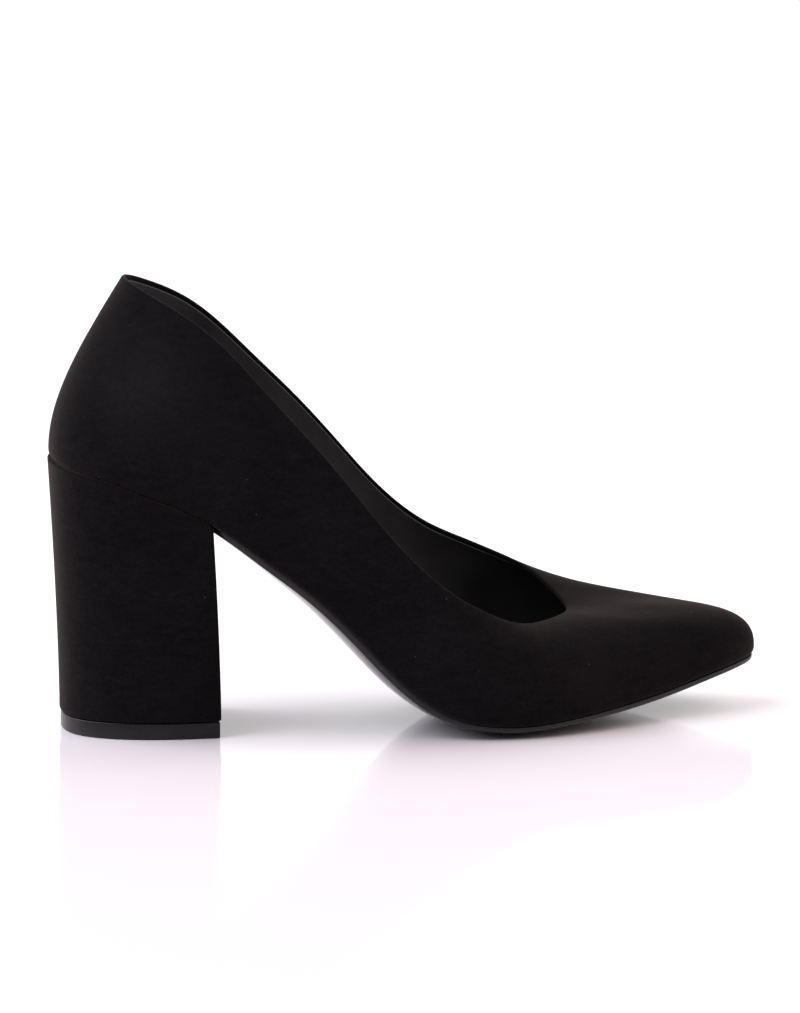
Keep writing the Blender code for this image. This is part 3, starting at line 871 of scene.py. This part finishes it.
def lacquer_look():
    """Black lacquered sole: a deep gloss with faint waves and hairline scuffs, and a satin painted edge."""
    made = Nodes("lacquered_sole")
    waves = made.noise(scale=55, detail=1)
    peel = made.noise(scale=900)
    scuff_lie = made.stretched(scale=(60, 2400, 60), turn=(0, 0, 0.3))
    scuffs = made.noise(place=scuff_lie, detail=4, roughness=0.75)
    colour = made.mix(made.spread(waves, low=0.3, high=0.7), LACQUER_DARK, LACQUER_LIGHT)
    facing = made.add("ShaderNodeSeparateXYZ")
    made.link(made.normal, facing.inputs[0])
    edge = made.spread(facing.outputs["Z"], low=-0.6, high=-0.3, to_low=0, to_high=0.45)
    scuffed = made.spread(scuffs, low=0.55, high=0.8, to_low=0.05, to_high=0.16)
    relief = made.bump(waves, distance=0.3 * MM, strength=0.3)
    relief = made.bump(peel, distance=0.01 * MM, strength=0.25, after=relief)
    made.drive(Base_Color=colour, Roughness=made.math("ADD", scuffed, edge), Normal=relief)
    made.set(Specular_IOR_Level=0.4)
    return made.material


def rubber_look():
    """Charcoal top piece: smooth moulded rubber, a little cloudy."""
    made = Nodes("heel_rubber")
    cloud = made.noise(scale=120, detail=3)
    grain = made.noise(scale=2200)
    colour = made.mix(made.spread(cloud, low=0.35, high=0.65), RUBBER_DARK, RUBBER_LIGHT)
    rough = made.spread(cloud, low=0.3, high=0.7, to_low=0.24, to_high=0.36)
    relief = made.bump(grain, distance=0.03 * MM, strength=0.4)
    made.drive(Base_Color=colour, Roughness=rough, Normal=relief)
    made.set(Specular_IOR_Level=0.3)
    return made.material


def floor_look():
    """Pale glossy studio floor."""
    made = Nodes("floor")
    made.drive(Base_Color=made.mix(made.noise(scale=3), FLOOR_DARK, FLOOR_LIGHT))
    made.set(Roughness=0.07, IOR=1.6)
    return made.material


def make_floor():
    """A wide level sheet at height 0."""
    mesh = bpy.data.meshes.new("floor")
    signs = (-1, -1), (1, -1), (1, 1), (-1, 1)
    corners = [(FLOOR_REACH * x, FLOOR_REACH * y, 0) for x, y in signs]
    mesh.from_pydata(corners, [], [(0, 1, 2, 3)])
    mesh.materials.append(floor_look())
    obj = bpy.data.objects.new("floor", mesh)
    bpy.context.scene.collection.objects.link(obj)


def make_camera():
    """The camera at the photo's angle to the shoe, turned to a point a little off its middle."""
    a, e = math.radians(VIEW_AZIMUTH), math.radians(VIEW_ELEVATION)
    forward = Vector((-math.sin(a) * math.cos(e), math.cos(a) * math.cos(e), -math.sin(e)))
    right = Vector((math.cos(a), math.sin(a), 0))
    up = right.cross(forward)
    aim = VIEW_TARGET + right * VIEW_SHIFT[0] + up * VIEW_SHIFT[1]
    camera = bpy.data.cameras.new("camera")
    camera.sensor_width = SENSOR
    camera.sensor_fit = "HORIZONTAL"
    camera.lens = SENSOR * VIEW_DISTANCE / VIEW_WIDTH
    obj = bpy.data.objects.new("camera", camera)
    bpy.context.scene.collection.objects.link(obj)
    turn = Matrix((right, up, -forward)).transposed().to_4x4()
    obj.matrix_world = Matrix.Translation(aim - forward * VIEW_DISTANCE) @ turn
    bpy.context.scene.camera = obj


def area_light(name, place, aim, size, power, colour):
    """A square light at the place, turned to the aim."""
    light = bpy.data.lights.new(name, "AREA")
    light.size = size
    light.energy = power
    light.color = colour
    obj = bpy.data.objects.new(name, light)
    bpy.context.scene.collection.objects.link(obj)
    obj.location = place
    obj.rotation_euler = (Vector(aim) - Vector(place)).to_track_quat("-Z", "Y").to_euler()


def make_light():
    """Pale surroundings, bright behind the shoe and dim in front of it, and a large light to each side."""
    world = bpy.data.worlds.new("studio")
    world.use_nodes = True
    nodes, links = world.node_tree.nodes, world.node_tree.links
    sky = nodes["Background"]
    sky.inputs["Color"].default_value = (1, 1, 1, 1)
    place = nodes.new("ShaderNodeTexCoord")
    towards = nodes.new("ShaderNodeVectorMath")
    towards.operation = "DOT_PRODUCT"
    towards.inputs[1].default_value = BRIGHT_SKY
    across = nodes.new("ShaderNodeMapRange")
    links.new(place.outputs["Generated"], towards.inputs[0])
    links.new(towards.outputs["Value"], across.inputs["Value"])
    across.inputs["From Min"].default_value = -SKY_EDGE
    across.inputs["From Max"].default_value = SKY_EDGE
    across.inputs["To Min"].default_value = FRONT_SKY
    across.inputs["To Max"].default_value = BACK_SKY
    links.new(across.outputs[0], sky.inputs["Strength"])
    bpy.context.scene.world = world
    for light in LIGHTS:
        area_light(*light)
    bpy.context.scene.view_settings.view_transform = "Standard"


def build():
    """The whole scene, in the order in which its names are taken."""
    make_camera()
    make_light()
    make_floor()
    rings, wall_start = lasted_surface()
    normals = surface_normals(rings)
    make_suede(suede_look("suede"), rings, normals)
    make_lining(lining_look(), rings, normals, wall_start)
    # The sock keeps the plain material that the frame has for its solid
    make_sock(bpy.data.materials["lining"])
    make_outsole(lacquer_look())
    make_heel(suede_look("heel_suede"))
    make_top_piece(rubber_look())


build()
